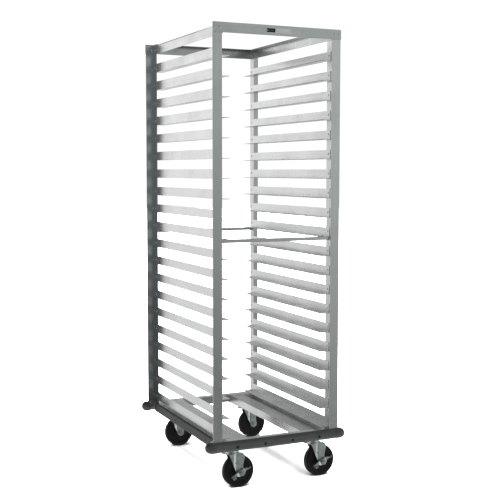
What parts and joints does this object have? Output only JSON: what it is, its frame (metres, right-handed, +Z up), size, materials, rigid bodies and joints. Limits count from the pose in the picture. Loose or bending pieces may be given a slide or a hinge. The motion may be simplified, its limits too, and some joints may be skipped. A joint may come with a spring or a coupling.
{
  "type": "sheet pan rack",
  "caption": "Tall end-loading rolling rack of angle slides for full-size bakery sheet pans, on swivel casters with front brakes and a wrap-round bumper.",
  "frame": {"origin": "on the floor, under the middle of the rack", "axes": "+Z up, the open loading front faces -Y, +X to the right seen from the front"},
  "size_m": [0.6, 0.8, 1.774],
  "materials": {
    "post_aluminium": "mill satin",
    "slide_aluminium": "bright mill",
    "base_aluminium": "mill satin",
    "rivet_aluminium": "satin",
    "plate": "satin, left third black",
    "bumper_rubber": "matt",
    "wheel_rubber": "matt",
    "bushing": "matt",
    "ball_steel": "polished",
    "black_screw": "black oxide",
    "zinc": "zinc plated"
  },
  "bodies": {
    "rack": {"base_rail_front": "base_aluminium", "base_rail_left": "base_aluminium", "base_rail_rear": "base_aluminium", "base_rail_right": "base_aluminium", "brace_bolts": "zinc", "brace_front": "base_aluminium", "brace_rear": "base_aluminium", "bumper_front": "bumper_rubber", "bumper_left": "bumper_rubber", "bumper_rear": "bumper_rubber", "bumper_right": "bumper_rubber", "bumper_screws": "black_screw", "caster_bolts": "zinc", "caster_fl_top_plate": "zinc", "caster_fr_top_plate": "zinc", "caster_pad_fl": "base_aluminium", "caster_pad_fr": "base_aluminium", "caster_pad_rl": "base_aluminium", "caster_pad_rr": "base_aluminium", "caster_rl_top_plate": "zinc", "caster_rr_top_plate": "zinc", "frame_rivets": "rivet_aluminium", "kingpins": "zinc", "nameplate": "plate", "nameplate_rivets": "rivet_aluminium", "post_front_left": "post_aluminium", "post_front_right": "post_aluminium", "post_rear_left": "post_aluminium", "post_rear_right": "post_aluminium", "slides_left_lower": "slide_aluminium", "slides_left_upper": "slide_aluminium", "slides_right_lower": "slide_aluminium", "slides_right_upper": "slide_aluminium", "swivel_bearing_balls": "ball_steel", "top_rail_front": "post_aluminium", "top_rail_left": "post_aluminium", "top_rail_rear": "post_aluminium", "top_rail_right": "post_aluminium"},
    "front_left_fork": {"caster_fl_fork": "zinc", "caster_fl_axle": "zinc"},
    "front_left_wheel": {"caster_fl_wheel": "wheel_rubber", "caster_fl_bushing": "bushing"},
    "front_left_brake_lever": {"brake_fl_lever": "zinc"},
    "front_left_brake_shoe": {"brake_fl_shoe": "zinc"},
    "front_right_fork": {"caster_fr_fork": "zinc", "caster_fr_axle": "zinc"},
    "front_right_wheel": {"caster_fr_wheel": "wheel_rubber", "caster_fr_bushing": "bushing"},
    "front_right_brake_lever": {"brake_fr_lever": "zinc"},
    "front_right_brake_shoe": {"brake_fr_shoe": "zinc"},
    "rear_left_fork": {"caster_rl_fork": "zinc", "caster_rl_axle": "zinc"},
    "rear_left_wheel": {"caster_rl_wheel": "wheel_rubber", "caster_rl_bushing": "bushing"},
    "rear_right_fork": {"caster_rr_fork": "zinc", "caster_rr_axle": "zinc"},
    "rear_right_wheel": {"caster_rr_wheel": "wheel_rubber", "caster_rr_bushing": "bushing"}
  },
  "joints": [
    {"name": "front_left_swivel", "type": "hinge", "parent": "rack", "child": "front_left_fork", "pos_m": [-0.1795, -0.3235, 0.14], "axis": [0, 0, 1], "continuous": true},
    {"name": "front_left_roll", "type": "hinge", "parent": "front_left_fork", "child": "front_left_wheel", "pos_m": [-0.145, -0.3235, 0.0635], "axis": [0, 1, 0], "continuous": true},
    {"name": "front_left_brake", "type": "hinge", "parent": "front_left_fork", "child": "front_left_brake_lever", "pos_m": [-0.145, -0.3508, 0.0635], "axis": [0, 1, 0], "range_deg": [0, 52]},
    {"name": "front_left_brake_shoe", "type": "slide", "parent": "front_left_fork", "child": "front_left_brake_shoe", "axis": [0, 1, 0], "range_m": [0, 0.0012]},
    {"name": "front_right_swivel", "type": "hinge", "parent": "rack", "child": "front_right_fork", "pos_m": [0.1795, -0.3235, 0.14], "axis": [0, 0, 1], "continuous": true},
    {"name": "front_right_roll", "type": "hinge", "parent": "front_right_fork", "child": "front_right_wheel", "pos_m": [0.214, -0.3235, 0.0635], "axis": [0, 1, 0], "continuous": true},
    {"name": "front_right_brake", "type": "hinge", "parent": "front_right_fork", "child": "front_right_brake_lever", "pos_m": [0.214, -0.3508, 0.0635], "axis": [0, 1, 0], "range_deg": [0, 52]},
    {"name": "front_right_brake_shoe", "type": "slide", "parent": "front_right_fork", "child": "front_right_brake_shoe", "axis": [0, 1, 0], "range_m": [0, 0.0012]},
    {"name": "rear_left_swivel", "type": "hinge", "parent": "rack", "child": "rear_left_fork", "pos_m": [-0.1795, 0.3235, 0.14], "axis": [0, 0, 1], "continuous": true},
    {"name": "rear_left_roll", "type": "hinge", "parent": "rear_left_fork", "child": "rear_left_wheel", "pos_m": [-0.145, 0.3235, 0.0635], "axis": [0, 1, 0], "continuous": true},
    {"name": "rear_right_swivel", "type": "hinge", "parent": "rack", "child": "rear_right_fork", "pos_m": [0.1795, 0.3235, 0.14], "axis": [0, 0, 1], "continuous": true},
    {"name": "rear_right_roll", "type": "hinge", "parent": "rear_right_fork", "child": "rear_right_wheel", "pos_m": [0.214, 0.3235, 0.0635], "axis": [0, 1, 0], "continuous": true}
  ],
  "couplings": [
    {"joint": "front_left_brake_shoe", "follows": "front_left_brake", "m_per_rad": 0.0013},
    {"joint": "front_right_brake_shoe", "follows": "front_right_brake", "m_per_rad": 0.0013}
  ]
}
